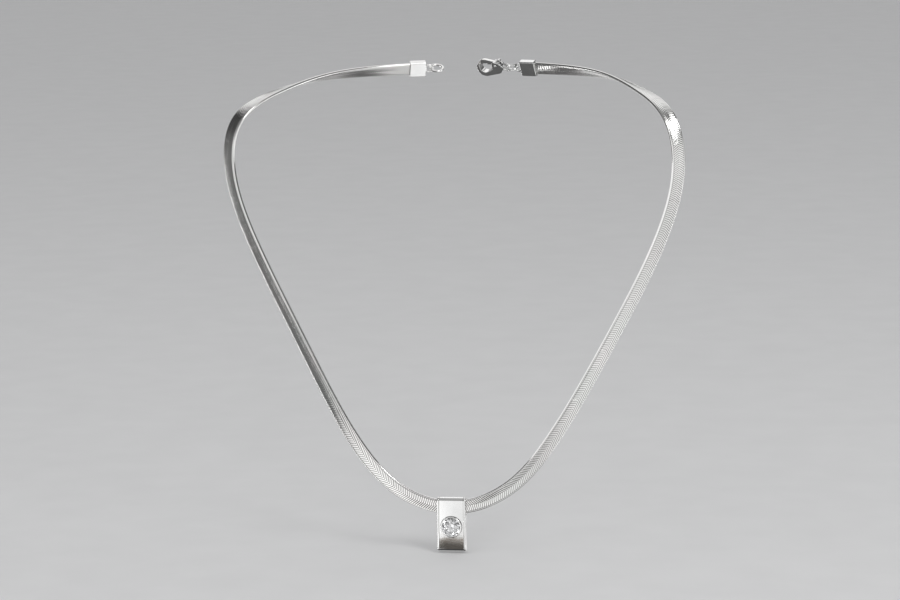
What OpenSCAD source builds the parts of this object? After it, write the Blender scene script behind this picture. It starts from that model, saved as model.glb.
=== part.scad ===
// Pendant necklace: a flat herringbone ribbon chain, undone at its clasp, with a slide pendant that
// holds one round brilliant stone. Millimetres, +Z up, -Y the front.
// The origin is on the back of the ribbon at the middle of the front.

/* [Chain] */
// Width of the ribbon
chain_w = 4.2; // [3.6:0.1:4.3]
// Thickness of the ribbon
chain_t = 1.1; // [0.9:0.05:1.2]
// Length of each group of links between two bends
group_len = 16.8; // [16:0.1:16.9]
// Half the length of the middle group, which carries the pendant
front_half = 11; // [10.5:0.1:11.5]
// Radial clearance in each bend
bend_gap = 0.05; // [0.03:0.01:0.1]

/* [Pendant] */
// Width of the pendant over its side plates
pendant_w = 8.6; // [8:0.1:9]
// Height of the pendant
pendant_h = 16.4; // [15:0.1:18]
// Thickness of each side plate
plate_t = 0.55; // [0.4:0.05:0.7]
// How far the side plates stand proud of the face
rail = 0.4; // [0.2:0.05:0.6]
// Thickness of the pendant's folded band
band_t = 0.55; // [0.4:0.05:0.7]
// Diameter of the stone
stone_d = 5.9; // [5:0.1:6.2]
// How far the stone's centre lies below the middle of the ribbon
stone_drop = 5.8; // [5.6:0.1:7]

/* [Clasp] */
// Length of each end cap
cap_len = 5; // [4.5:0.1:5.5]
// Thickness of the clasp's body
clasp_t = 2.2; // [2:0.1:2.6]
// Inner diameter of the end ring
ring_bore = 3.3; // [3:0.1:3.6]

/* [Hidden] */
$fn = 48;
silver = [0.86, 0.86, 0.87];
groups = 12;

// Control points of the ribbon's centre line, a cubic B-spline up the right side and round to the nape.
// The left side is its mirror image.
route = [[-19, 1, 5.5], [0, 0, -1.5], [19, 1, 5.5], [31.5, 3.5, 22], [41.5, 9, 39], [51, 13.5, 56.5],
         [60.2, 16.5, 73.8], [69.5, 15.5, 97.5], [67.5, 13, 118.5], [55.5, 28, 124], [44, 43.5, 127],
         [27, 56.5, 127], [8.5, 63.5, 127], [-11.5, 63, 126.5]];
// The way the ribbon's face looks at each control point
faces = [[-0.1, -1, 0], [0, -1, 0.1], [0.1, -1, 0], [0.3, -1, 0], [0.4, -0.9, -0.1], [0.45, -0.9, -0.1],
         [0.5, -0.85, 0], [0.45, -0.85, -0.1], [0.45, -0.8, -0.1], [0.2, -0.25, 0.8], [0.35, 0.3, 0.75],
         [0.35, 0.8, 0.5], [0.1, 0.95, 0.3], [-0.15, 0.95, 0.3]];

half_t = chain_t / 2;
half_w = chain_w / 2;
ribbon_half = front_half + groups * group_len;
ring_every = 2.8;
knuckle_r = half_t - 0.02;
knuckle_l = chain_w - 1.3;
knuckle_back = 0.25;

// Pendant, in a frame whose X runs along the ribbon, Y out of its face and Z down
channel_t = 1.4;
channel_top = 2.6;
channel_low = 2.35;
front_y = channel_t / 2 + band_t;
back_y = -front_y;
top_z = -channel_top - band_t;
low_z = top_z + pendant_h;
fold_r = 1.1;
stone_r = stone_d / 2;
bezel_r = stone_r + 0.35;
girdle_y = front_y + 0.35;
girdle_t = 0.12;
pavilion_h = stone_d * 0.43;
crown_h = stone_d * 0.15;
table_r = stone_r * 0.56;
bezel_top = girdle_y + 0.4;
light_hole_r = 1.3;

// Clasp and rings, in the frame at the end of the ribbon: X onwards, Y out of the face, Z across
cap_w = chain_w + 0.9;
cap_t = chain_t + 0.9;
eye_r = 1.15;
eye_wire = 0.35;
link_gap = 0.05;
eye_x = cap_len / 2 + eye_r + 0.05;
hinge_x = eye_x + eye_r;
jump_r = 1.6;
jump_wire = 0.33;
jump_x = hinge_x - eye_wire - link_gap - jump_wire + jump_r;
ring_wall = 0.7;
end_ring_x = hinge_x - eye_wire - link_gap + ring_bore / 2;
swing_x = jump_x + jump_r;
tail_r = 1.05;
tail_wire = 0.4;
tail_x = swing_x - jump_wire - link_gap - tail_wire + tail_r;
lever_t = 1;
pin_r = 0.3;
pivot = [3.7, -1.0];
gate_r = 5.5;
lever_top = -1.1;
mouth_top = -0.5;
tip_room = 0.9;
slot_top = -0.1;

function two(k) = k < 10 ? str("0", k) : str(k);
function unit(v) = v / norm(v);

// Value and slope of the cubic B-spline with control points q
function span(q, u) = min(floor(u), len(q) - 4);
function spline(q, u) =
    let (i = span(q, u), t = u - i)
    ((1 - t) ^ 3 * q[i] + (3 * t ^ 3 - 6 * t ^ 2 + 4) * q[i + 1]
     + (-3 * t ^ 3 + 3 * t ^ 2 + 3 * t + 1) * q[i + 2] + t ^ 3 * q[i + 3]) / 6;
function slope(q, u) =
    let (i = span(q, u), t = u - i)
    (-(1 - t) ^ 2 * q[i] + (3 * t ^ 2 - 4 * t) * q[i + 1]
     + (-3 * t ^ 2 + 2 * t + 1) * q[i + 2] + t ^ 2 * q[i + 3]) / 2;

// Distance along the centre line against the spline's own parameter
steps = [for (u = [0:0.05:len(route) - 3]) [u, spline(route, u)]];
lengths = [for (i = 0, s = 0; i < len(steps);
                s = s + (i + 1 < len(steps) ? norm(steps[i + 1][1] - steps[i][1]) : 0), i = i + 1)
           [s, steps[i][0]]];

// Place, direction, face and width direction at a distance from the middle of the front
function onward(s) = unit(slope(route, lookup(s, lengths)));
function facing(s) = let (f = spline(faces, lookup(s, lengths)), t = onward(s)) unit(f - (f * t) * t);
function across(s) = cross(onward(s), facing(s));
function place(s) = spline(route, lookup(s, lengths)) - spline(route, 0) + facing(0) * half_t;

module at(s) {
    t = onward(s);
    n = facing(s);
    w = across(s);
    p = place(s);
    multmatrix([[t.x, n.x, w.x, p.x], [t.y, n.y, w.y, p.y], [t.z, n.z, w.z, p.z], [0, 0, 0, 1]])
        children();
}

module left() {
    mirror([1, 0, 0]) children();
}

// Section of the ribbon: flat faces and rolled edges
edge = [[1, 0.6], [0.6, 0.15], [0, 0], [-0.6, 0.15], [-1, 0.6]];
section = concat([for (e = edge) [e[0] * half_t, half_w - e[1]]],
                 [for (i = [len(edge) - 1:-1:0]) [edge[i][0] * half_t, edge[i][1] - half_w]]);

// One ring of the swept ribbon; a distance below 0 lies on the left side
function side(p, s) = s < 0 ? [-p.x, p.y, p.z] : p;
function ring(s) =
    let (a = abs(s))
    [for (e = section) side(place(a) + e[0] * facing(a) + e[1] * across(a), s)];

module ribbon(from, to) {
    n = len(section);
    count = ceil((to - from) / ring_every);
    points = [for (i = [0:count]) each ring(from + (to - from) * i / count)];
    first = [for (j = [0:n - 1]) j];
    last = [for (j = [n - 1:-1:0]) count * n + j];
    walls = [for (i = [0:count - 1], j = [0:n - 1])
             let (k = (j + 1) % n)
             each [[i * n + j, (i + 1) * n + j, i * n + k], [i * n + k, (i + 1) * n + j, (i + 1) * n + k]]];
    polyhedron(points, concat([first, last], walls));
}

module knuckle(s, r, l) {
    at(s) cylinder(r = r, h = l, center = true);
}

// Links between two bends: a round nose at the start turns in the seat at the end of the group before
module chain_group(k) {
    from = front_half + (k - 1) * group_len;
    to = from + group_len;
    color(silver)
    if (k == groups) {
        ribbon(from, to);
        knuckle(from, knuckle_r, knuckle_l);
    } else difference() {
        union() {
            ribbon(from, to - knuckle_back);
            knuckle(from, knuckle_r, knuckle_l);
        }
        knuckle(to, knuckle_r + bend_gap, chain_w + 1);
    }
}

module chain_front() {
    reach = front_half - knuckle_back;
    color(silver)
    difference() {
        ribbon(-reach, reach);
        knuckle(front_half, knuckle_r + bend_gap, chain_w + 1);
        left() knuckle(front_half, knuckle_r + bend_gap, chain_w + 1);
    }
}

// Rectangle from corner a to corner b with round corners
module rounded(a, b, r) {
    translate([a.x + r, a.y]) square([b.x - a.x - 2 * r, b.y - a.y]);
    translate([a.x, a.y + r]) square([b.x - a.x, b.y - a.y - 2 * r]);
    for (x = [a.x + r, b.x - r], y = [a.y + r, b.y - r])
        translate([x, y]) circle(r);
}

// Extrudes a shape drawn in the Y-Z plane from one X to another
module from_side(x0, x1) {
    translate([x0, 0, 0]) multmatrix([[0, 0, 1, 0], [1, 0, 0, 0], [0, 1, 0, 0], [0, 0, 0, 1]])
        linear_extrude(x1 - x0) children();
}

// Stands a cylinder or a turned shape on the stone's axis
module on_stone_axis(y = 0) {
    translate([0, y, stone_drop]) rotate([-90, 0, 0]) children();
}

module pendant_band() {
    inner_w = pendant_w / 2 - plate_t;
    color(silver)
    at(0)
    difference() {
        from_side(-inner_w, inner_w)
            difference() {
                rounded([back_y, top_z], [front_y, low_z], fold_r);
                rounded([back_y + band_t, top_z + band_t], [front_y - band_t, low_z - band_t], fold_r - band_t);
            }
        on_stone_axis(0) cylinder(r = bezel_r, h = 3);
        on_stone_axis(back_y - 1) cylinder(r = light_hole_r, h = 2);
    }
}

module side_plate() {
    at(0)
    translate([pendant_w / 2 - plate_t, 0, 0])
    from_side(0, plate_t)
        difference() {
            rounded([back_y, top_z], [front_y + rail, low_z], fold_r);
            translate([-channel_t / 2, -channel_top])
                square([channel_t, channel_top + channel_low]);
        }
}

module side_plate_right() {
    color(silver) side_plate();
}

module side_plate_left() {
    color(silver) left() side_plate();
}

module bezel() {
    seat_y = girdle_y - 0.3;
    seat_r = stone_r * (1 - 0.3 / pavilion_h);
    foot_y = channel_t / 2 - 0.4;
    color(silver)
    at(0)
    on_stone_axis(0)
    rotate_extrude()
        polygon([[seat_r, foot_y], [bezel_r, foot_y], [bezel_r, bezel_top - 0.1], [bezel_r - 0.1, bezel_top],
                 [stone_r - 0.2, bezel_top], [stone_r + 0.02, girdle_y + girdle_t], [stone_r + 0.02, girdle_y],
                 [seat_r + 0.02, seat_y]]);
}

module stone() {
    color([0.92, 0.95, 1])
    at(0)
    on_stone_axis(girdle_y) {
        translate([0, 0, -pavilion_h]) cylinder(r1 = 0.02, r2 = stone_r, h = pavilion_h);
        cylinder(r = stone_r, h = girdle_t);
        translate([0, 0, girdle_t]) cylinder(r1 = stone_r, r2 = table_r, h = crown_h);
    }
}

module wire_ring(r, wire) {
    rotate_extrude() translate([r, 0]) circle(wire);
}

module end_cap() {
    bevel = 0.35;
    at(ribbon_half) {
        difference() {
            from_side(-cap_len / 2, cap_len / 2)
                rounded([-cap_t / 2, -cap_w / 2], [cap_t / 2, cap_w / 2], bevel);
            translate([-cap_len, -half_t - 0.1, -half_w - 0.1])
                cube([cap_len, chain_t + 0.2, chain_w + 0.2]);
        }
        translate([eye_x, 0, 0]) rotate([90, 0, 0]) wire_ring(eye_r, eye_wire);
    }
}

module end_cap_right() {
    color(silver) end_cap();
}

module end_cap_left() {
    color(silver) left() end_cap();
}

module end_ring() {
    color(silver)
    left() at(ribbon_half)
    translate([end_ring_x, 0, 0])
    rotate_extrude()
        translate([ring_bore / 2, 0])
        rounded([0, -ring_wall / 2], [ring_wall, ring_wall / 2], 0.2);
}

module jump_ring() {
    color(silver)
    at(ribbon_half) translate([jump_x, 0, 0]) wire_ring(jump_r, jump_wire);
}

// Two circles and the straight sides that touch both
module egg(x1, r1, x2, r2) {
    lean = asin((r2 - r1) / (x2 - x1));
    translate([x1, 0]) circle(r1);
    translate([x2, 0]) circle(r2);
    polygon([for (e = [[x1, r1, 1], [x2, r2, 1], [x2, r2, -1], [x1, r1, -1]])
             [e[0] - e[1] * sin(lean), e[2] * e[1] * cos(lean)]]);
}

module claw() {
    difference() {
        egg(3.2, 1.9, 7.5, 2.8);
        egg(5.9, 0.8, 7.5, 1.45);
    }
}

// The side of the claw that the lever closes, out to a distance from the lever's pivot
module gate(reach) {
    intersection() {
        translate(pivot) circle(reach);
        union() {
            translate([pivot.x - 1, -4]) square([8, 4 + mouth_top]);
            translate([7.5, -4]) square([4, 4 + tip_room]);
        }
    }
}

// Clasp frame: X along the clasp from its tail ring, Y across, Z through its thickness
module on_clasp() {
    at(ribbon_half) translate([tail_x, 0, 0]) rotate([90, 0, 0]) children();
}

module lever_slot(grow) {
    translate(pivot) circle(1.15 + grow);
    translate([pivot.x - 2.6, -4]) square([2.6, 4 + slot_top]);
}

module clasp_body() {
    color(silver)
    on_clasp() {
        difference() {
            linear_extrude(clasp_t, center = true) {
                difference() {
                    claw();
                    difference() {
                        gate(gate_r + 0.08);
                        translate(pivot) circle(1.3);
                    }
                }
                translate([tail_r - 0.2, -0.6]) square([1.2, 1.2]);
            }
            linear_extrude(lever_t + 0.16, center = true) lever_slot(0.15);
            translate([pivot.x, pivot.y, 0]) cylinder(r = pin_r, h = clasp_t + 1, center = true);
        }
        wire_ring(tail_r, tail_wire);
    }
}

module clasp_lever() {
    nub = [pivot.x - 1.3, pivot.y - 1.35];
    color(silver)
    on_clasp()
    difference() {
        union() {
            translate([pivot.x, pivot.y, 0]) cylinder(r = 0.95, h = lever_t, center = true);
            translate([nub.x, nub.y, 0]) cylinder(r = 0.5, h = lever_t, center = true);
            linear_extrude(lever_t, center = true)
                polygon([nub + [0.4, -0.25], pivot + [0.3, -0.8], pivot + [-0.7, 0.4], nub + [-0.3, 0.3]]);
            linear_extrude(lever_t, center = true)
                intersection() {
                    claw();
                    gate(gate_r);
                    translate([pivot.x, -4]) square([8, 4 + lever_top]);
                }
        }
        translate([pivot.x, pivot.y, 0]) cylinder(r = pin_r + 0.05, h = 3, center = true);
    }
}

module clasp_pin() {
    color(silver)
    on_clasp() translate([pivot.x, pivot.y, 0]) cylinder(r = pin_r, h = clasp_t, center = true);
}

// A bent leaf in the slot behind the lever's hub
module clasp_spring() {
    color(silver)
    on_clasp()
    linear_extrude(lever_t - 0.3, center = true)
        polygon([[1.6, slot_top], [1.85, slot_top], [2.25, -1.3], [2.1, -1.35]]);
}

chain_front();
for (k = [1:groups]) {
    chain_group(k);
    left() chain_group(k);
}
pendant_band();
side_plate_right();
side_plate_left();
bezel();
stone();
end_cap_right();
end_cap_left();
end_ring();
jump_ring();
clasp_body();
clasp_lever();
clasp_pin();
clasp_spring();
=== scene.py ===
"""Looks of the pendant necklace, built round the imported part. All lengths are in metres."""

import math

import bmesh
import bpy
import numpy as np
from mathutils import Matrix, Vector


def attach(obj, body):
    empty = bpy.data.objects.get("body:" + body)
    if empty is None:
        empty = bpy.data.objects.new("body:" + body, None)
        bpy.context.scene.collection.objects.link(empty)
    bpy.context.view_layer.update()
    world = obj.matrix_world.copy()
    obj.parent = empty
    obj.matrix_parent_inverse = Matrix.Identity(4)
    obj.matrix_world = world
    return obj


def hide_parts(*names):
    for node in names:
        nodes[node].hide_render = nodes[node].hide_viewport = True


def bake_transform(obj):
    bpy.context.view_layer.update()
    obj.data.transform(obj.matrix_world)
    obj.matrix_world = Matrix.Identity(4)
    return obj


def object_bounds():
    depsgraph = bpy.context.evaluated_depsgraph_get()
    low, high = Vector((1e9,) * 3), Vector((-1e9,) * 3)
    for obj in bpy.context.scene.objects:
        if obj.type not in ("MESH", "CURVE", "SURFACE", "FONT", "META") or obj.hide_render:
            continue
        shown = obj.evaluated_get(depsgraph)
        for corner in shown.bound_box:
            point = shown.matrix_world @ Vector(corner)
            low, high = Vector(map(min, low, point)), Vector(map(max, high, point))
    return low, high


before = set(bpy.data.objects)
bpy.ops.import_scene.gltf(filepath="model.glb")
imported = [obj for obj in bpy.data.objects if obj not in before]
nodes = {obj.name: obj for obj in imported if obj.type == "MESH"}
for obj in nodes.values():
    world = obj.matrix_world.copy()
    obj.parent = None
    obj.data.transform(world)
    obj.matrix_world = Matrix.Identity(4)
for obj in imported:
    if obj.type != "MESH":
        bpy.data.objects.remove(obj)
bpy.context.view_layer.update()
scene = bpy.context.scene
MM = 0.001
rng = np.random.default_rng(11)

# ---------------------------------------------------------------- camera

AZIMUTH, ELEVATION, ROLL = (math.radians(d) for d in (9.5, 10.0, -1.35))
DISTANCE = 1.0
SCALE = 0.000303 * 900
AIM = Vector((0, 0.015, 0.05))
AIM_RIGHT, AIM_UP = -0.00187, 0.01045


def make_camera():
    back = Vector((math.sin(AZIMUTH) * math.cos(ELEVATION), -math.cos(AZIMUTH) * math.cos(ELEVATION),
                   math.sin(ELEVATION)))
    level = Vector((math.cos(AZIMUTH), math.sin(AZIMUTH), 0))
    upward = back.cross(level)
    right = math.cos(ROLL) * level + math.sin(ROLL) * upward
    up = math.cos(ROLL) * upward - math.sin(ROLL) * level
    data = bpy.data.cameras.new("camera")
    data.sensor_width = 36
    data.lens = 36 * DISTANCE / SCALE
    data.clip_start, data.clip_end = 0.01, 100
    camera = bpy.data.objects.new("camera", data)
    scene.collection.objects.link(camera)
    target = AIM + right * AIM_RIGHT + up * AIM_UP
    turn = Matrix((right, up, back)).transposed().to_4x4()
    camera.matrix_world = Matrix.Translation(target + back * DISTANCE) @ turn
    scene.camera = camera


make_camera()

# ---------------------------------------------------------------- the ribbon's route, as in the CAD

ROUTE = MM * np.array([
    [-19, 1, 5.5], [0, 0, -1.5], [19, 1, 5.5], [31.5, 3.5, 22], [41.5, 9, 39], [51, 13.5, 56.5],
    [60.2, 16.5, 73.8], [69.5, 15.5, 97.5], [67.5, 13, 118.5], [55.5, 28, 124], [44, 43.5, 127],
    [27, 56.5, 127], [8.5, 63.5, 127], [-11.5, 63, 126.5]])
FACES = np.array([
    [-0.1, -1, 0], [0, -1, 0.1], [0.1, -1, 0], [0.3, -1, 0], [0.4, -0.9, -0.1], [0.45, -0.9, -0.1],
    [0.5, -0.85, 0], [0.45, -0.85, -0.1], [0.45, -0.8, -0.1], [0.2, -0.25, 0.8], [0.35, 0.3, 0.75],
    [0.35, 0.8, 0.5], [0.1, 0.95, 0.3], [-0.15, 0.95, 0.3]])
CHAIN_T = 1.1 * MM
FRONT_HALF = 11 * MM
GROUP = 16.8 * MM
GROUPS = 12
RIBBON_HALF = FRONT_HALF + GROUPS * GROUP


def spline(points, u, derivative=False):
    """Values or slopes of the cubic B-spline at the parameters u."""
    i = np.clip(np.floor(u).astype(int), 0, len(points) - 4)
    t = u - i
    if derivative:
        weight = np.stack([-(1 - t) ** 2, 3 * t ** 2 - 4 * t, -3 * t ** 2 + 2 * t + 1, t ** 2], -1) / 2
    else:
        weight = np.stack([(1 - t) ** 3, 3 * t ** 3 - 6 * t ** 2 + 4, -3 * t ** 3 + 3 * t ** 2 + 3 * t + 1,
                           t ** 3], -1) / 6
    return np.einsum("nk,nkc->nc", weight, points[i[:, None] + np.arange(4)])


def unit(v):
    return v / np.linalg.norm(v, axis=-1, keepdims=True)


table_u = np.arange(0, len(ROUTE) - 3 + 1e-9, 0.05)
table_s = np.concatenate([[0], np.cumsum(np.linalg.norm(np.diff(spline(ROUTE, table_u), axis=0), axis=1))])


def stations(s):
    """Place, direction, face and width direction at signed distances from the middle of the front."""
    s = np.atleast_1d(np.asarray(s, float))
    u = np.interp(np.abs(s), table_s, table_u)
    zero = np.zeros(1)
    first_face = unit(spline(FACES, zero) - spline(FACES, zero)[:, :1] * [[1, 0, 0]])
    p = spline(ROUTE, u) - spline(ROUTE, zero) + first_face * CHAIN_T / 2
    t = unit(spline(ROUTE, u, True))
    n = spline(FACES, u)
    n = unit(n - (n * t).sum(1, keepdims=True) * t)
    left = s < 0
    p[left, 0] *= -1
    n[left, 0] *= -1
    t[left, 1:] *= -1
    return p, t, n, np.cross(t, n)


class Place:
    """A local frame on the ribbon: x along it, y out of its face, z across it."""

    def __init__(self, s, mirrored=False):
        p, t, n, w = (v[0] for v in stations(abs(s)))
        if mirrored:
            p, t, n, w = (v * [-1, 1, 1] for v in (p, t, n, w))
        self.p, self.t, self.n, self.w = p, t, n, w

    def __call__(self, x, y, z):
        x, y, z = (np.asarray(v, float)[..., None] for v in (x, y, z))
        return self.p + x * self.t + y * self.n + z * self.w


# ---------------------------------------------------------------- mesh helpers


def piece(name, verts, faces, material, smooth=True):
    mesh = bpy.data.meshes.new(name)
    mesh.from_pydata([tuple(v) for v in verts], [], [tuple(int(i) for i in f) for f in faces])
    bm = bmesh.new()
    bm.from_mesh(mesh)
    bmesh.ops.recalc_face_normals(bm, faces=bm.faces)
    bm.to_mesh(mesh)
    bm.free()
    mesh.polygons.foreach_set("use_smooth", [smooth] * len(mesh.polygons))
    mesh.materials.append(material)
    obj = bpy.data.objects.new(name, mesh)
    scene.collection.objects.link(obj)
    return obj


def paint_shade(obj, amount):
    """Writes how dark the painted shade is at each point, in grooves, seams and gaps."""
    values = np.asarray(amount, np.float32)
    obj.data.attributes.new("groove", "FLOAT", "POINT").data.foreach_set("value", values)


def sharpen(obj, degrees):
    """Marks edges sharper than the angle and weights the rest of the normals by face area."""
    obj.data.set_sharp_from_angle(angle=math.radians(degrees))
    weighted = obj.modifiers.new("weighted_normals", "WEIGHTED_NORMAL")
    weighted.keep_sharp = True
    return obj


def skin(loops, closed=False, caps=True):
    """Joins loops of equally many points into one surface. Returns points and faces."""
    loops = np.asarray(loops)
    m, n = loops.shape[:2]
    faces = []
    for i in range(m if closed else m - 1):
        a, b = i * n, (i + 1) % m * n
        faces += [(a + j, a + (j + 1) % n, b + (j + 1) % n, b + j) for j in range(n)]
    if caps and not closed:
        faces += [tuple(range(n))[::-1], tuple(range((m - 1) * n, m * n))]
    return loops.reshape(-1, 3), faces


def settled(obj):
    """The object's mesh with its modifiers applied."""
    graph = bpy.context.evaluated_depsgraph_get()
    mesh = bpy.data.meshes.new_from_object(obj.evaluated_get(graph))
    old = obj.data
    obj.modifiers.clear()
    obj.data = mesh
    mesh.name = old.name
    bpy.data.meshes.remove(old)
    return obj


def lathe(place, centre, profile, turns=96, across="y"):
    """Closed surface of revolution of a (radius, height) profile about one of the frame's axes."""
    angle = np.linspace(0, 2 * math.pi, turns, endpoint=False)
    loops = []
    for a in angle:
        c, s = math.cos(a), math.sin(a)
        loops.append([
            place(centre[0] + r * c, centre[1] + h, centre[2] + r * s) if across == "y" else
            place(centre[0] + r * c, centre[1] + r * s, centre[2] + h) for r, h in profile])
    return skin(loops, closed=True)


# ---------------------------------------------------------------- materials


def tree_of(material):
    """The nodes and the links of a material."""
    tree = material.node_tree
    return tree.nodes, tree.links


def node(nodes_, kind, **values):
    """A new node. Values whose names start with in_ go to its inputs, and the others to its own settings."""
    made = nodes_.new(kind)
    for key, value in values.items():
        if key.startswith("in_"):
            made.inputs[key[3:].replace("_", " ")].default_value = value
        else:
            setattr(made, key, value)
    return made


def ramp(nodes_, stops, mode="LINEAR"):
    made = nodes_.new("ShaderNodeValToRGB")
    made.color_ramp.interpolation = mode
    elements = made.color_ramp.elements
    while len(elements) > 1:
        elements.remove(elements[-1])
    for i, (at, colour) in enumerate(stops):
        e = elements[0] if i == 0 else elements.new(at)
        e.position = at
        e.color = (*colour, 1) if len(colour) == 3 else colour
    return made


def grey(v):
    """A neutral colour."""
    return (v, v, v)


def silver(name, tint, shade, rough, scratch, wave, grooves=False):
    """Polished silver: tone drift, rubbed patches, hairline scratches and a soft unevenness.

    The last two are heights. With grooves, the points' painted shade darkens the metal."""
    m = bpy.data.materials.new(name)
    m.use_nodes = True
    ns, ls = tree_of(m)
    bsdf = ns["Principled BSDF"]
    bsdf.inputs["Metallic"].default_value = 1
    where = ns.new("ShaderNodeTexCoord")

    drift = node(ns, "ShaderNodeTexNoise", in_Scale=90, in_Detail=2)
    ls.new(where.outputs["Object"], drift.inputs["Vector"])
    tone = ramp(ns, [(0.35, tint), (0.65, shade)])
    ls.new(drift.outputs["Fac"], tone.inputs["Fac"])
    colour = tone.outputs["Color"]
    if grooves:
        depth = node(ns, "ShaderNodeAttribute", attribute_name="groove")
        # Painted shade: each point's groove value mixes the metal towards a dark grey-brown
        painted_shade = node(ns, "ShaderNodeMix", data_type="RGBA")
        painted_shade.inputs["B"].default_value = (0.19, 0.18, 0.17, 1)
        ls.new(depth.outputs["Fac"], painted_shade.inputs["Factor"])
        ls.new(colour, painted_shade.inputs["A"])
        colour = painted_shade.outputs["Result"]
    ls.new(colour, bsdf.inputs["Base Color"])

    rubbed = node(ns, "ShaderNodeTexNoise", in_Scale=420, in_Detail=5, in_Roughness=0.6)
    ls.new(where.outputs["Object"], rubbed.inputs["Vector"])
    spread = node(ns, "ShaderNodeMapRange")
    spread.inputs["From Min"].default_value, spread.inputs["From Max"].default_value = 0.3, 0.7
    spread.inputs["To Min"].default_value, spread.inputs["To Max"].default_value = rough
    ls.new(rubbed.outputs["Fac"], spread.inputs["Value"])
    ls.new(spread.outputs["Result"], bsdf.inputs["Roughness"])

    height = None
    for turn, size in ((0.5, (9000, 900, 5000)), (-0.7, (700, 8000, 7000)), (1.9, (8000, 8000, 600))):
        stretch = ns.new("ShaderNodeMapping")
        stretch.inputs["Rotation"].default_value = (turn, turn * 0.6, turn * 1.3)
        stretch.inputs["Scale"].default_value = size
        ls.new(where.outputs["Object"], stretch.inputs["Vector"])
        lines = node(ns, "ShaderNodeTexNoise", in_Scale=1, in_Detail=1)
        ls.new(stretch.outputs["Vector"], lines.inputs["Vector"])
        thin = ramp(ns, [(0.0, grey(1)), (0.34, grey(1)), (0.38, grey(0)), (1.0, grey(0))])
        ls.new(lines.outputs["Fac"], thin.inputs["Fac"])
        if height is None:
            height = thin.outputs["Color"]
        else:
            both = node(ns, "ShaderNodeMath", operation="ADD")
            ls.new(height, both.inputs[0])
            ls.new(thin.outputs["Color"], both.inputs[1])
            height = both.outputs["Value"]
    hairlines = node(ns, "ShaderNodeBump", invert=True)
    hairlines.inputs["Strength"].default_value = 1
    hairlines.inputs["Distance"].default_value = scratch
    ls.new(height, hairlines.inputs["Height"])
    swell = node(ns, "ShaderNodeTexNoise", in_Scale=330, in_Detail=1)
    ls.new(where.outputs["Object"], swell.inputs["Vector"])
    uneven = node(ns, "ShaderNodeBump")
    uneven.inputs["Strength"].default_value = 1
    uneven.inputs["Distance"].default_value = wave
    ls.new(swell.outputs["Fac"], uneven.inputs["Height"])
    ls.new(hairlines.outputs["Normal"], uneven.inputs["Normal"])
    ls.new(uneven.outputs["Normal"], bsdf.inputs["Normal"])
    return m


chain_silver = silver("chain_silver", tint=(0.90, 0.885, 0.88), shade=(0.865, 0.875, 0.86), rough=(0.11, 0.2),
                      scratch=1.2e-6, wave=6e-6, grooves=True)
pendant_silver = silver("pendant_silver", tint=(0.94, 0.935, 0.925), shade=(0.91, 0.915, 0.91),
                        rough=(0.035, 0.10), scratch=8e-7, wave=1.4e-5, grooves=True)
clasp_silver = silver("clasp_silver", tint=(0.90, 0.89, 0.88), shade=(0.865, 0.87, 0.865), rough=(0.10, 0.2),
                      scratch=1.5e-6, wave=1e-5)


def spring_steel():
    m = bpy.data.materials.new("spring_steel")
    m.use_nodes = True
    ns, ls = tree_of(m)
    bsdf = ns["Principled BSDF"]
    bsdf.inputs["Metallic"].default_value = 1
    where = ns.new("ShaderNodeTexCoord")
    rolled = ns.new("ShaderNodeMapping")
    rolled.inputs["Scale"].default_value = (900, 900, 14000)
    grain = node(ns, "ShaderNodeTexNoise", in_Scale=1, in_Detail=4)
    tone = ramp(ns, [(0.3, (0.42, 0.43, 0.46)), (0.7, (0.62, 0.62, 0.64))])
    ls.new(where.outputs["Object"], rolled.inputs["Vector"])
    ls.new(rolled.outputs["Vector"], grain.inputs["Vector"])
    ls.new(grain.outputs["Fac"], tone.inputs["Fac"])
    ls.new(tone.outputs["Color"], bsdf.inputs["Base Color"])
    rough = node(ns, "ShaderNodeMapRange")
    rough.inputs["To Min"].default_value, rough.inputs["To Max"].default_value = 0.25, 0.45
    ls.new(grain.outputs["Fac"], rough.inputs["Value"])
    ls.new(rough.outputs["Result"], bsdf.inputs["Roughness"])
    return m


def clear_stone():
    m = bpy.data.materials.new("clear_stone")
    m.use_nodes = True
    ns, ls = tree_of(m)
    bsdf = ns["Principled BSDF"]
    bsdf.inputs["Transmission Weight"].default_value = 1
    bsdf.inputs["IOR"].default_value = 2.4
    bsdf.inputs["Base Color"].default_value = (0.985, 0.99, 1, 1)
    where = ns.new("ShaderNodeTexCoord")
    polish = node(ns, "ShaderNodeTexNoise", in_Scale=2500, in_Detail=3)
    ls.new(where.outputs["Object"], polish.inputs["Vector"])
    rough = node(ns, "ShaderNodeMapRange")
    rough.inputs["To Min"].default_value, rough.inputs["To Max"].default_value = 0.0, 0.005
    ls.new(polish.outputs["Fac"], rough.inputs["Value"])
    ls.new(rough.outputs["Result"], bsdf.inputs["Roughness"])
    return m


stone_clear = clear_stone()
steel = spring_steel()

# ---------------------------------------------------------------- herringbone ribbon

# Links a pitch apart, each slanted back from the middle of the ribbon to its rims
PITCH = 0.66 * MM
SLANT = 0.6
# Across the section, where the rim groove runs, in mm, and how dark the painted shade along it is
RIM_LINE, RIM_SHADE = 1.66, 0.5
# A quarter of the section, from the middle of the face to the rim, in mm: across, out of the face, and the
# share of the links' depth and of their painted groove shade there
SECTION = [(0, 0.525, 0.75), (0.12, 0.545, 1), (0.5, 0.55, 1), (0.95, 0.55, 1), (1.4, 0.55, 1),
           (1.57, 0.535, 0.9), (RIM_LINE, 0.44, 0.3), (1.73, 0.46, 0.1), (1.85, 0.45, 0.06),
           (1.98, 0.35, 0.06), (2.06, 0.2, 0.08), (2.10, 0.07, 0.1)]
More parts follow.
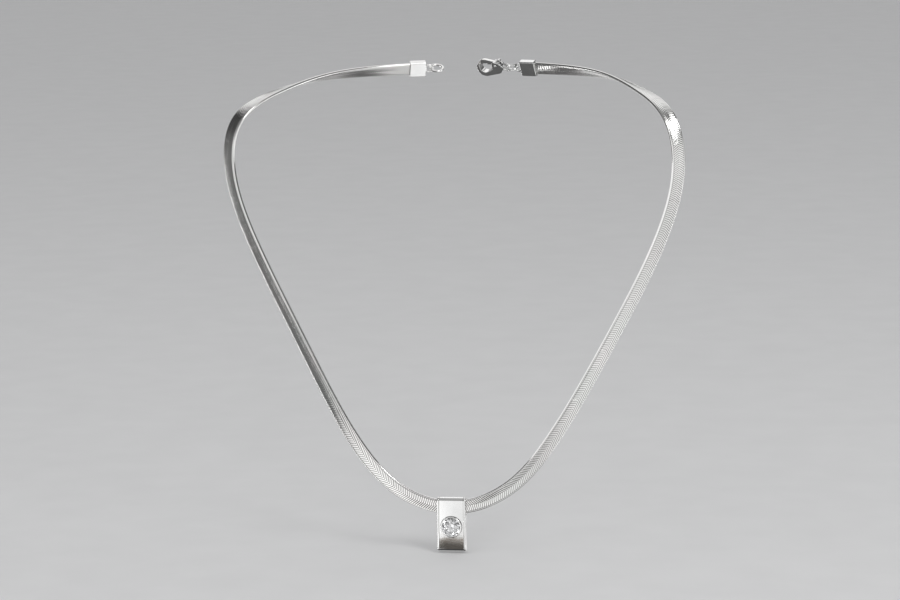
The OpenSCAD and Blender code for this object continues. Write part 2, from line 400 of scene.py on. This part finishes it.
# Place along a link, as a share of its pitch, and the surface's depth there, in mm
LINK = [(0.0, 0.05), (0.17, 0.0), (0.52, 0.002), (0.84, 0.01)]
# How dark the painted groove shade is at each of those places
GROOVE_SHADE = [0.8, 0.08, 0.0, 0.25]
# Beside the pendant the links are cut deeper, and their painted groove shade is darker, by this share,
# which fades out along the ribbon
FRONT_CUT, FRONT_CUT_REACH = 0.3, 26 * MM


def section_loop():
    """The whole section's points, and the direction out of it at each."""
    half = SECTION + [(a, -b, k) for a, b, k in SECTION[::-1]]
    loop = half + [(-a, b, k) for a, b, k in half[-2:0:-1]]
    loop = np.array(loop)
    out = np.roll(loop[:, :2], -1, 0) - np.roll(loop[:, :2], 1, 0)
    out = unit(np.stack([-out[:, 1], out[:, 0]], 1))
    flip = np.sign((out * loop[:, :2]).sum(1))[:, None]
    return loop, out * flip


LOOP, OUTWARD = section_loop()
# Unevenness from link to link, in mm, for more links than there are
MANY_LINKS = 2000
link_tilt = rng.normal(0, 0.0035, MANY_LINKS)
link_lift = rng.normal(0, 0.003, MANY_LINKS)


def ribbon(name, first, last):
    """Ribbon from one link to another, counted from the middle of the front."""
    rows = np.arange(first * len(LINK), last * len(LINK) + 1)
    link, part = rows // len(LINK), rows % len(LINK)
    shape = np.array(LINK)
    along = (link + shape[part, 0]) * PITCH
    cut = 1 + FRONT_CUT * np.exp(-(along / FRONT_CUT_REACH) ** 2)
    uneven = link_lift[link] + link_tilt[link] * (part - 2)
    depth = shape[part, 1] * cut + np.where(part > 0, uneven, 0)
    s = along[:, None] - SLANT * MM * np.abs(LOOP[None, :, 0])
    p, _, n, w = stations(s.ravel())
    sunk = -(depth[:, None] * LOOP[None, :, 2])
    v = (LOOP[None, :, 0] + sunk * OUTWARD[None, :, 0]).ravel()[:, None] * MM
    h = (LOOP[None, :, 1] + sunk * OUTWARD[None, :, 1]).ravel()[:, None] * MM
    verts, faces = skin((p + v * w + h * n).reshape(len(rows), len(LOOP), 3))
    made = piece(name, verts, faces, chain_silver)
    caps = made.data.polygons[len(made.data.polygons) - 2:]
    for cap in caps:
        cap.use_smooth = False
    rim = {key for cap in caps for key in cap.edge_keys}
    sharp = np.array([e.key in rim for e in made.data.edges])
    made.data.attributes.new("sharp_edge", "BOOLEAN", "EDGE").data.foreach_set("value", sharp)
    # Painted shade in the grooves of the links and along the rim groove
    groove_shade = np.minimum(np.array(GROOVE_SHADE)[part] * cut, 1)[:, None] * LOOP[None, :, 2]
    rim_line = np.where(np.isclose(np.abs(LOOP[:, 0]), RIM_LINE), RIM_SHADE, 0.0)[None, :]
    paint_shade(made, np.maximum(groove_shade, rim_line).ravel())
    return made


# Links on each side of the middle that the front piece has
FRONT_LINKS = 7
# Distances before and after each hinge, the first one short on the pendant's side; the points found at them
# are not used
BLEND, FIRST_BLEND = (0.006, 0.006), (0.0013, 0.005)


def middle_link(k):
    """The link nearest to the middle of group k."""
    return round((FRONT_HALF + (k - 0.5) * GROUP) / PITCH)


END_LINKS = int(RIBBON_HALF / PITCH) - 1


def make_ribbon():
    front = ribbon("herringbone_front", -FRONT_LINKS, FRONT_LINKS)
    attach(front, "front")
    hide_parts("chain_front")
    for k in range(1, GROUPS + 1):
        hinge = FRONT_HALF + (k - 1) * GROUP
        near = FRONT_LINKS if k == 1 else middle_link(k - 1)
        far = middle_link(k)
        before, after = FIRST_BLEND if k == 1 else BLEND
        for side, sign in (("right", 1), ("left", -1)):
            ends = (near, far) if sign > 0 else (-far, -near)
            part = ribbon(f"herringbone_{side}_{k:02d}", *ends)
            start, end = (Vector(stations(sign * r)[0][0]) for r in (hinge - before, hinge + after))
            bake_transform(part)
            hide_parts(f"chain_{side}_{k:02d}")
    last = middle_link(GROUPS)
    for side, sign in (("right", 1), ("left", -1)):
        ends = (last, END_LINKS) if sign > 0 else (-END_LINKS, -last)
        part = ribbon(f"herringbone_{side}_end", *ends)
        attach(part, f"ribbon_{side}_{GROUPS:02d}")
        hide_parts(f"chain_{side}_{GROUPS:02d}")


make_ribbon()

# ---------------------------------------------------------------- pendant

PENDANT_W, PENDANT_H, PLATE_T, RAIL, BAND_T = (v * MM for v in (8.6, 16.4, 0.55, 0.4, 0.55))
CHANNEL_T, CHANNEL_TOP, CHANNEL_LOW, FOLD_R = (v * MM for v in (1.4, 2.6, 2.35, 1.1))
FRONT_Y = CHANNEL_T / 2 + BAND_T
TOP_Z = -CHANNEL_TOP - BAND_T
LOW_Z = TOP_Z + PENDANT_H
STONE_R, STONE_DROP = 2.95 * MM, 5.8 * MM
PAVILION = 2.537 * MM
BEZEL_R = STONE_R + 0.35 * MM
GIRDLE_Y = FRONT_Y + 0.35 * MM
BEZEL_TOP = GIRDLE_Y + 0.4 * MM
LIGHT_HOLE_R = 1.3 * MM
# How far the face bulges, and how wide the seams at its sides are, which carry painted shade
CROWN, SEAM = 0.14 * MM, 0.18 * MM
# How dark the painted shade is in those seams and in the gap round the bezel
SEAM_SHADE = 0.9
pendant_at = Place(0)


def rounded_loop(y0, z0, y1, z1, r, corner=10, front=14):
    """Rounded rectangle in the y-z plane, with extra points up its front and down its back."""
    out = []
    centres = [(y1 - r, z0 + r), (y1 - r, z1 - r), (y0 + r, z1 - r), (y0 + r, z0 + r)]
    for i, (cy, cz) in enumerate(centres):
        turns = [math.radians(90 * (i - 1) + 90 * j / corner) for j in range(corner + 1)]
        out += [(cy + r * math.cos(a), cz + r * math.sin(a)) for a in turns]
        if i == 0:
            out += [(y1, z0 + r + (z1 - z0 - 2 * r) * j / front) for j in range(1, front)]
        if i == 2:
            out += [(y0, z1 - r - (z1 - z0 - 2 * r) * j / front) for j in range(1, front)]
    return np.array(out)


def make_band():
    """The folded strip: its slightly bulging face, the two folds and the back, with a hole for the stone."""
    half = PENDANT_W / 2 - PLATE_T
    outer = rounded_loop(-FRONT_Y, TOP_Z, FRONT_Y, LOW_Z, FOLD_R)
    inner = rounded_loop(-FRONT_Y + BAND_T, TOP_Z + BAND_T, FRONT_Y - BAND_T, LOW_Z - BAND_T,
                         FOLD_R - BAND_T)
    middle, reach = (TOP_Z + LOW_Z) / 2, (LOW_Z - TOP_Z) / 2
    crown = np.where(outer[:, 0] > 0, CROWN * (1 - ((outer[:, 1] - middle) / reach) ** 2), 0)
    seam = half - SEAM
    xs = np.concatenate([[-half], np.linspace(-seam, seam, 13), [half]])
    loops = []
    for x in xs:
        bulge = crown * (1 - 0.35 * (x / half) ** 2)
        loops.append(pendant_at(np.full(len(outer), x), outer[:, 0] + bulge, outer[:, 1]))
    for x in (half, 0, -half):
        loops.append(pendant_at(np.full(len(inner), x), inner[:, 0], inner[:, 1]))
    verts, faces = skin(loops, closed=True)
    band = piece("pendant_fold", verts, faces, pendant_silver)
    # Painted shade: dark along the seams at the side plates, lighter over the inside of the band
    paint_shade(band, np.repeat([SEAM_SHADE] + [0.0] * 13 + [SEAM_SHADE] + [0.2] * 3, len(outer)))
    angle = np.linspace(0, 2 * math.pi, 96, endpoint=False)
    for name, r, y0, y1 in (("cut_front", BEZEL_R + 0.05 * MM, 0, 4 * MM),
                            ("cut_back", LIGHT_HOLE_R, -4 * MM, 0)):
        rings = [pendant_at(r * np.cos(angle), np.full(96, y), STONE_DROP + r * np.sin(angle))
                 for y in (y0, y1)]
        tool = piece(name, *skin(rings), pendant_silver)
        cut = band.modifiers.new(name, "BOOLEAN")
        cut.object, cut.solver, cut.operation = tool, "EXACT", "DIFFERENCE"
        settled(band)
        bpy.data.objects.remove(tool)
    sharpen(band, 40)
    return band


def plate_outline(y0, z0, y1, z1, r):
    return rounded_loop(y0, z0, y1, z1, r, corner=12, front=8)


def ray_hit(outline, centre, angle):
    """Where a ray from the centre leaves a convex outline."""
    d = np.array([math.cos(angle), math.sin(angle)])
    a, b = outline - centre, np.roll(outline, -1, 0) - centre
    e = b - a
    bottom = d[0] * e[:, 1] - d[1] * e[:, 0]
    with np.errstate(divide="ignore", invalid="ignore"):
        t = (a[:, 0] * e[:, 1] - a[:, 1] * e[:, 0]) / bottom
        k = (a[:, 0] * d[1] - a[:, 1] * d[0]) / bottom
    good = np.isfinite(t) & (t > 0) & (k > -1e-7) & (k < 1 + 1e-7)
    return centre + d * t[good].max()


def make_plate(name, sign):
    """A side plate with worn edges, and a slot for the ribbon."""
    bevel = 0.09 * MM
    centre = np.array([0, -0.125 * MM])
    whole = (-FRONT_Y, TOP_Z, FRONT_Y + RAIL, LOW_Z)
    slot = (-CHANNEL_T / 2, -CHANNEL_TOP, CHANNEL_T / 2, CHANNEL_LOW)

    def sized(box, r, grow):
        return plate_outline(box[0] - grow, box[1] - grow, box[2] + grow, box[3] + grow, max(r + grow, 1e-5))

    x0, x1 = PENDANT_W / 2 - PLATE_T, PENDANT_W / 2
    # Place through the plate's thickness, and how far the outline or the slot is grown there
    edge = [(x0, -bevel), (x0 + bevel * 0.3, -bevel * 0.3), (x0 + bevel, 0), (x1 - bevel * 1.6, -bevel * 0.8),
            (x1 - bevel * 0.7, -bevel * 1.2), (x1, -bevel * 2.2)]
    mouth = [(x1, bevel * 0.6), (x1 - bevel * 0.6, 0), (x0 + bevel * 0.6, 0), (x0, bevel * 0.6)]
    outlines = [sized(whole, FOLD_R, grow) for _, grow in edge]
    outlines += [sized(slot, 0.15 * MM, grow) for _, grow in mouth]
    # Rays through the points of the full-size outline and the full-size slot, which meet every outline
    full_size = np.concatenate([outlines[2], outlines[7]]) - centre
    angles = sorted({round(math.atan2(z, y), 6) for y, z in full_size})
    loops = []
    for outline, (x, _) in zip(outlines, edge + mouth):
        q = np.array([ray_hit(outline, centre, a) for a in angles])
        loops.append(pendant_at(np.full(len(q), sign * x), q[:, 0], q[:, 1]))
    return sharpen(piece(name, *skin(loops, closed=True), pendant_silver), 60)


def make_bezel():
    """The tube round the stone, turned from a profile: up its wall, over its lip, down the stone's seat."""
    seat_r = STONE_R * (1 - 0.3 * MM / PAVILION)
    foot = CHANNEL_T / 2 - 0.4 * MM
    lip = []
    for a in np.linspace(0, 165, 12):
        lip.append((BEZEL_R - 0.31 * MM + 0.22 * MM * math.cos(math.radians(a)),
                    BEZEL_TOP - 0.10 * MM + 0.10 * MM * math.sin(math.radians(a))))
    wall = [(seat_r, foot + 0.05 * MM), (seat_r + 0.05 * MM, foot), (BEZEL_R - 0.16 * MM, foot),
            (BEZEL_R - 0.1 * MM, foot + 0.06 * MM), (BEZEL_R - 0.1 * MM, FRONT_Y + 0.02 * MM)]
    seat = [(STONE_R - 0.16 * MM, BEZEL_TOP - 0.14 * MM), (STONE_R - 0.19 * MM, BEZEL_TOP - 0.19 * MM),
            (STONE_R + 0.02 * MM, GIRDLE_Y + 0.12 * MM), (STONE_R + 0.02 * MM, GIRDLE_Y),
            (seat_r + 0.02 * MM, GIRDLE_Y - 0.3 * MM)]
    turns = 128
    tube = lathe(pendant_at, (0, 0, STONE_DROP), wall + lip + seat, turns)
    made = piece("bezel_collar", *tube, pendant_silver)
    # Painted shadow on the bezel's wall and foot, in the gap inside the hole
    paint_shade(made, np.tile([SEAM_SHADE] * len(wall) + [0.0] * (len(lip) + len(seat)), turns))
    return sharpen(made, 50)


def make_stone():
    """Round brilliant: table, star, kite and half facets, a thin girdle, and the pavilion."""
    r_table, crown, girdle = 1.652 * MM, 0.885 * MM, 0.12 * MM
    r_star, r_low = 2.2 * MM, 0.75 * MM
    step = math.pi / 8
    turn = 0.2

    def ring(r, y, count, offset):
        a = turn + offset + np.arange(count) * 2 * math.pi / count
        return pendant_at(r * np.cos(a), np.full(count, GIRDLE_Y + y), STONE_DROP + r * np.sin(a))

    y_star = girdle + crown * (STONE_R - r_star * math.cos(step)) / (STONE_R - r_table)
    y_low = -PAVILION * (1 - r_low * math.cos(step) / STONE_R)
    verts = np.concatenate([
        ring(r_table, girdle + crown, 8, 0), ring(r_star, y_star, 8, step), ring(STONE_R, girdle, 16, 0),
        ring(STONE_R, 0, 16, 0), ring(r_low, y_low, 8, step), ring(0, -PAVILION, 1, 0)])
    table, star, top, under, low, culet = 0, 8, 16, 32, 48, 56
    faces = [tuple(range(8))]
    for k in range(8):
        nxt, prev = (k + 1) % 8, (k - 1) % 8
        a, b, c = 2 * k, 2 * k + 1, (2 * k + 2) % 16
        faces += [(table + k, table + nxt, star + k), (table + k, star + k, top + a, star + prev),
                  (star + k, top + a, top + b), (star + k, top + b, top + c),
                  (top + a, top + b, under + b, under + a), (top + b, top + c, under + c, under + b),
                  (low + k, under + a, under + b), (low + k, under + b, under + c),
                  (culet, low + prev, under + a, low + k)]
    return piece("brilliant_stone", verts, faces, stone_clear, smooth=False)


for made, node_name, slot in (
        (make_band(), "pendant_band", "pendant_silver"),
        (make_plate("rail_right", 1), "side_plate_right", "pendant_silver"),
        (make_plate("rail_left", -1), "side_plate_left", "pendant_silver"),
        (make_bezel(), "bezel", "pendant_silver"),
        (make_stone(), "stone", "clear_stone")):
    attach(made, "pendant")
    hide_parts(node_name)

# ---------------------------------------------------------------- end caps, rings and clasp


def softened(name, source, body, material, voxel, rounds):
    """A cast-looking copy of a CAD node: remeshed finely, with its edges worn round."""
    mesh = nodes[source].data.copy()
    mesh.materials.clear()
    mesh.materials.append(material)
    bm = bmesh.new()
    bm.from_mesh(mesh)
    bmesh.ops.remove_doubles(bm, verts=bm.verts, dist=2e-6)
    bm.to_mesh(mesh)
    bm.free()
    made = bpy.data.objects.new(name, mesh)
    scene.collection.objects.link(made)
    remesh = made.modifiers.new("remesh", "REMESH")
    remesh.mode, remesh.voxel_size, remesh.use_smooth_shade = "VOXEL", voxel, True
    relax = made.modifiers.new("relax", "SMOOTH")
    relax.factor, relax.iterations = 0.5, rounds
    settled(made)
    made.data.materials.clear()
    made.data.materials.append(material)
    made.data.polygons.foreach_set("use_smooth", [True] * len(made.data.polygons))
    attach(made, body)
    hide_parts(source)


softened("cap_right", "end_cap_right", f"ribbon_right_{GROUPS:02d}", clasp_silver, 8e-5, 4)
softened("cap_left", "end_cap_left", f"ribbon_left_{GROUPS:02d}", clasp_silver, 8e-5, 4)
softened("lobster_body", "clasp_body", "clasp", clasp_silver, 8e-5, 6)
softened("lobster_lever", "clasp_lever", "clasp_lever", clasp_silver, 7e-5, 4)


def arc_tube(place, centre, r, wire, start, stop, count=72, sides=20):
    """Wire bent in the frame's x-y plane from one angle to another, with closed ends."""
    loops = []
    for a in np.linspace(math.radians(start), math.radians(stop), count):
        b = np.linspace(0, 2 * math.pi, sides, endpoint=False)
        out = r + wire * np.cos(b)
        loops.append(place(centre + out * math.cos(a), out * math.sin(a), wire * np.sin(b)))
    return skin(loops)


end_right, end_left = Place(RIBBON_HALF), Place(RIBBON_HALF, mirrored=True)
HALF_CAP, EYE_R, EYE_WIRE, LINK_GAP = 2.5, 1.15, 0.35, 0.05
HINGE_X = (HALF_CAP + EYE_R + LINK_GAP + EYE_R) * MM
JUMP_R, JUMP_WIRE = 1.6 * MM, 0.33 * MM
JUMP_X = HINGE_X - (EYE_WIRE + LINK_GAP) * MM - JUMP_WIRE + JUMP_R
jump = piece("jump_ring_wire", *arc_tube(end_right, JUMP_X, JUMP_R, JUMP_WIRE, 62, 420.5), clasp_silver)
sharpen(jump, 50)
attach(jump, "jump_ring")
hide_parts("jump_ring")

RING_BORE, RING_WALL = 3.3 * MM, 0.7 * MM
END_RING_X = HINGE_X - (EYE_WIRE + LINK_GAP) * MM + RING_BORE / 2
SQUARENESS = 0.6
half_wall = RING_WALL / 2
profile = []
for a in np.linspace(0, 360, 24, endpoint=False):
    c, s = math.cos(math.radians(a)), math.sin(math.radians(a))
    profile.append((RING_BORE / 2 + half_wall + half_wall * math.copysign(abs(c) ** SQUARENESS, c),
                    half_wall * math.copysign(abs(s) ** SQUARENESS, s)))
loop_ring = piece("end_ring_cast", *lathe(end_left, (END_RING_X, 0, 0), profile, across="z"), clasp_silver)
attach(loop_ring, "end_ring")
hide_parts("end_ring")

TAIL_R, TAIL_WIRE = 1.05 * MM, 0.4 * MM
TAIL_X = JUMP_X + JUMP_R - JUMP_WIRE - LINK_GAP * MM - TAIL_WIRE + TAIL_R
PIVOT_X, PIVOT_Z = 3.7 * MM, -1.0 * MM
# The rivet's head, from its shaft to just off its axis: radius and height in mm
HEAD = [(0.3, 1.0), (0.36, 1.02), (0.34, 1.08), (0.2, 1.14), (0.0001, 1.16)]
rivet_profile = [(r * MM, -h * MM) for r, h in HEAD[::-1]] + [(r * MM, h * MM) for r, h in HEAD]
rivet_shape = lathe(end_right, (TAIL_X + PIVOT_X, 0, PIVOT_Z), rivet_profile, 40)
rivet = piece("lobster_rivet", *rivet_shape, clasp_silver)
sharpen(rivet, 50)
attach(rivet, "clasp")
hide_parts("clasp_pin")

spring = nodes["clasp_spring"]
spring.data.materials.clear()
spring.data.materials.append(steel)

# ---------------------------------------------------------------- floor and light

FLOOR_R, FLOOR_GAP = 40, 0.0006
ROOM = (0.60, 0.602, 0.61, 1)
BACKDROP = (0.384, 0.385, 0.39, 1)
# Brightness of the mirrored studio round the part, by degrees from straight in front towards +X
PANELS = [(-180, 0.4), (-165, 0.95), (-145, 0.95), (-132, 0.28), (-100, 0.2), (-75, 0.18), (-54, 0.2),
          (-49, 0.95), (-32, 1.2), (-15, 1.35), (-9, 0.88), (0, 0.68), (14, 0.62), (26, 0.8), (38, 0.88),
          (52, 0.98), (64, 0.8), (80, 0.65), (100, 0.3), (135, 0.18), (150, 0.22), (162, 0.8), (174, 0.8),
          (180, 0.4)]
# Share of it from straight down (0) over level (0.5) to straight up (1)
HEIGHTS = [(0.0, 0.6), (0.2, 0.6), (0.25, 1), (0.545, 1), (0.6, 0.34), (0.92, 0.28), (1, 0.5)]
# A soft light high up behind: its direction, and its brightness by how nearly that way a reflection points
POOL_WAY = (0, 0.6, 0.8)
POOL = [(0.0, 0), (0.80, 0), (0.87, 0.75), (1.0, 0.8)]


def make_floor():
    """A wide pale disc just below the part. The metal and the stone don't show it, and it casts no shadow."""
    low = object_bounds()[0].z - FLOOR_GAP
    angle = np.linspace(0, 2 * math.pi, 96, endpoint=False)
    disc = [(FLOOR_R * math.cos(a), FLOOR_R * math.sin(a), low) for a in angle]
    m = bpy.data.materials.new("floor")
    m.use_nodes = True
    ns, ls = tree_of(m)
    bsdf = ns["Principled BSDF"]
    bsdf.inputs["Roughness"].default_value = 0.7
    bsdf.inputs["Specular IOR Level"].default_value = 0.2
    where = ns.new("ShaderNodeTexCoord")
    faint = node(ns, "ShaderNodeTexNoise", in_Scale=60, in_Detail=3)
    tone = ramp(ns, [(0.3, grey(0.63)), (0.7, grey(0.65))])
    ls.new(where.outputs["Object"], faint.inputs["Vector"])
    ls.new(faint.outputs["Fac"], tone.inputs["Fac"])
    ls.new(tone.outputs["Color"], bsdf.inputs["Base Color"])
    floor = piece("floor", disc, [tuple(range(96))], m)
    floor.visible_glossy = False
    floor.visible_transmission = False
    floor.visible_shadow = False


def area_light(name, place, aim, size, power, mirrored=True):
    data = bpy.data.lights.new(name, "AREA")
    data.shape = "RECTANGLE"
    data.size, data.size_y = size
    data.energy = power
    lamp = bpy.data.objects.new(name, data)
    scene.collection.objects.link(lamp)
    lamp.location = place
    lamp.visible_glossy = mirrored
    lamp.rotation_euler = (Vector(aim) - Vector(place)).to_track_quat("-Z", "Y").to_euler()


def grey_ramp(ns, stops):
    return ramp(ns, [(at, grey(v)) for at, v in stops])


def mirrored_studio(ns, ls):
    """The colour of the bright and dark panels that the metal mirrors, by direction."""
    where = ns.new("ShaderNodeTexCoord")
    axes = ns.new("ShaderNodeSeparateXYZ")
    ls.new(where.outputs["Generated"], axes.inputs["Vector"])
    front = node(ns, "ShaderNodeMath", operation="MULTIPLY")
    front.inputs[1].default_value = -1
    ls.new(axes.outputs["Y"], front.inputs[0])
    around = node(ns, "ShaderNodeMath", operation="ARCTAN2")
    ls.new(axes.outputs["X"], around.inputs[0])
    ls.new(front.outputs["Value"], around.inputs[1])
    share = node(ns, "ShaderNodeMapRange")
    share.inputs["From Min"].default_value, share.inputs["From Max"].default_value = -math.pi, math.pi
    ls.new(around.outputs["Value"], share.inputs["Value"])
    panels = grey_ramp(ns, [(degrees / 360 + 0.5, v) for degrees, v in PANELS])
    ls.new(share.outputs["Result"], panels.inputs["Fac"])

    raised = node(ns, "ShaderNodeMapRange")
    raised.inputs["From Min"].default_value = -1
    ls.new(axes.outputs["Z"], raised.inputs["Value"])
    heights = grey_ramp(ns, HEIGHTS)
    ls.new(raised.outputs["Result"], heights.inputs["Fac"])
    studio = node(ns, "ShaderNodeMix", data_type="RGBA", blend_type="MULTIPLY")
    studio.inputs["Factor"].default_value = 1
    ls.new(panels.outputs["Color"], studio.inputs["A"])
    ls.new(heights.outputs["Color"], studio.inputs["B"])

    high = node(ns, "ShaderNodeVectorMath", operation="DOT_PRODUCT")
    high.inputs[1].default_value = POOL_WAY
    ls.new(where.outputs["Generated"], high.inputs[0])
    pool = grey_ramp(ns, POOL)
    ls.new(high.outputs["Value"], pool.inputs["Fac"])
    lit = node(ns, "ShaderNodeMix", data_type="RGBA", blend_type="ADD")
    lit.inputs["Factor"].default_value = 1
    ls.new(studio.outputs["Result"], lit.inputs["A"])
    ls.new(pool.outputs["Color"], lit.inputs["B"])
    return lit.outputs["Result"]


def mixed(ns, ls, share, first, second):
    """The first shader, or the second where the share is 1."""
    both = ns.new("ShaderNodeMixShader")
    ls.new(share, both.inputs["Fac"])
    ls.new(first, both.inputs[1])
    ls.new(second, both.inputs[2])
    return both.outputs["Shader"]


def make_world():
    """A pale room that lights the floor, a studio that the metal and the stone show, and a plain backdrop."""
    world = bpy.data.worlds.new("studio")
    world.use_nodes = True
    scene.world = world
    ns, ls = world.node_tree.nodes, world.node_tree.links
    ns.clear()
    out = ns.new("ShaderNodeOutputWorld")
    mirror, room, backdrop = (ns.new("ShaderNodeBackground") for _ in range(3))
    ls.new(mirrored_studio(ns, ls), mirror.inputs["Color"])
    room.inputs["Color"].default_value = ROOM
    backdrop.inputs["Color"].default_value = BACKDROP
    rays = ns.new("ShaderNodeLightPath")
    sharp = node(ns, "ShaderNodeMath", operation="MAXIMUM")
    ls.new(rays.outputs["Is Glossy Ray"], sharp.inputs[0])
    ls.new(rays.outputs["Is Transmission Ray"], sharp.inputs[1])
    seen = mixed(ns, ls, sharp.outputs["Value"], room.outputs["Background"], mirror.outputs["Background"])
    seen = mixed(ns, ls, rays.outputs["Is Camera Ray"], seen, backdrop.outputs["Background"])
    ls.new(seen, out.inputs["Surface"])


make_world()
make_floor()
area_light("key", (0.66, -0.63, 0.8), (0.06, 0.01, 0.11), (0.42, 0.6), 4.2)
area_light("top", (-0.3, -0.3, 1.1), (0, 0.02, 0.05), (0.8, 0.8), 2.5, mirrored=False)
area_light("low_left", (-0.95, 0.15, -0.4), (0, 0.02, 0.06), (0.22, 0.7), 1.6)
area_light("low_right", (0.95, 0.3, -0.45), (0, 0.02, 0.06), (0.35, 0.7), 1.6)


def make_card(name, corners, top, bottom, span):
    """A panel that only the metal mirrors, shaded between two heights."""
    m = bpy.data.materials.new(name)
    m.use_nodes = True
    ns, ls = tree_of(m)
    ns.clear()
    where = ns.new("ShaderNodeTexCoord")
    axes = ns.new("ShaderNodeSeparateXYZ")
    ls.new(where.outputs["Object"], axes.inputs["Vector"])
    fade = node(ns, "ShaderNodeMapRange")
    fade.inputs["From Min"].default_value, fade.inputs["From Max"].default_value = span
    ls.new(axes.outputs["Z"], fade.inputs["Value"])
    tone = ramp(ns, [(0, bottom), (1, top)])
    ls.new(fade.outputs["Result"], tone.inputs["Fac"])
    glow = ns.new("ShaderNodeEmission")
    ls.new(tone.outputs["Color"], glow.inputs["Color"])
    ls.new(glow.outputs["Emission"], ns.new("ShaderNodeOutputMaterial").inputs["Surface"])
    card = piece(name, corners, [(0, 1, 2, 3)], m)
    card.visible_camera = card.visible_diffuse = card.visible_shadow = card.visible_transmission = False


# In front of the pendant's lower half and under it
CARD_TOP = -0.0172
make_card("dark_card", [(-0.018, -0.06, -0.09), (0.0, -0.06, -0.09), (0.0, -0.06, CARD_TOP),
                        (-0.018, -0.06, CARD_TOP)],
          top=(0.36, 0.325, 0.29), bottom=(0.09, 0.083, 0.075), span=(-0.0205, CARD_TOP))
make_card("dark_base", [(-0.03, -0.06, -0.09), (0.03, -0.06, -0.09), (0.03, 0.05, -0.09),
                        (-0.03, 0.05, -0.09)],
          top=grey(0.05), bottom=grey(0.05), span=(-0.1, 0))
# Upright panels inside the loop, one beside each arm
for name, side, tone in (("inner_dark", -1, 0.1), ("inner_light", 1, 1)):
    make_card(name, [(side * 0.015, -0.012, 0.02), (side * 0.052, -0.012, 0.1), (side * 0.052, 0.05, 0.1),
                     (side * 0.015, 0.05, 0.02)], top=grey(tone), bottom=grey(tone), span=(0, 1))
scene.view_settings.view_transform = "Standard"
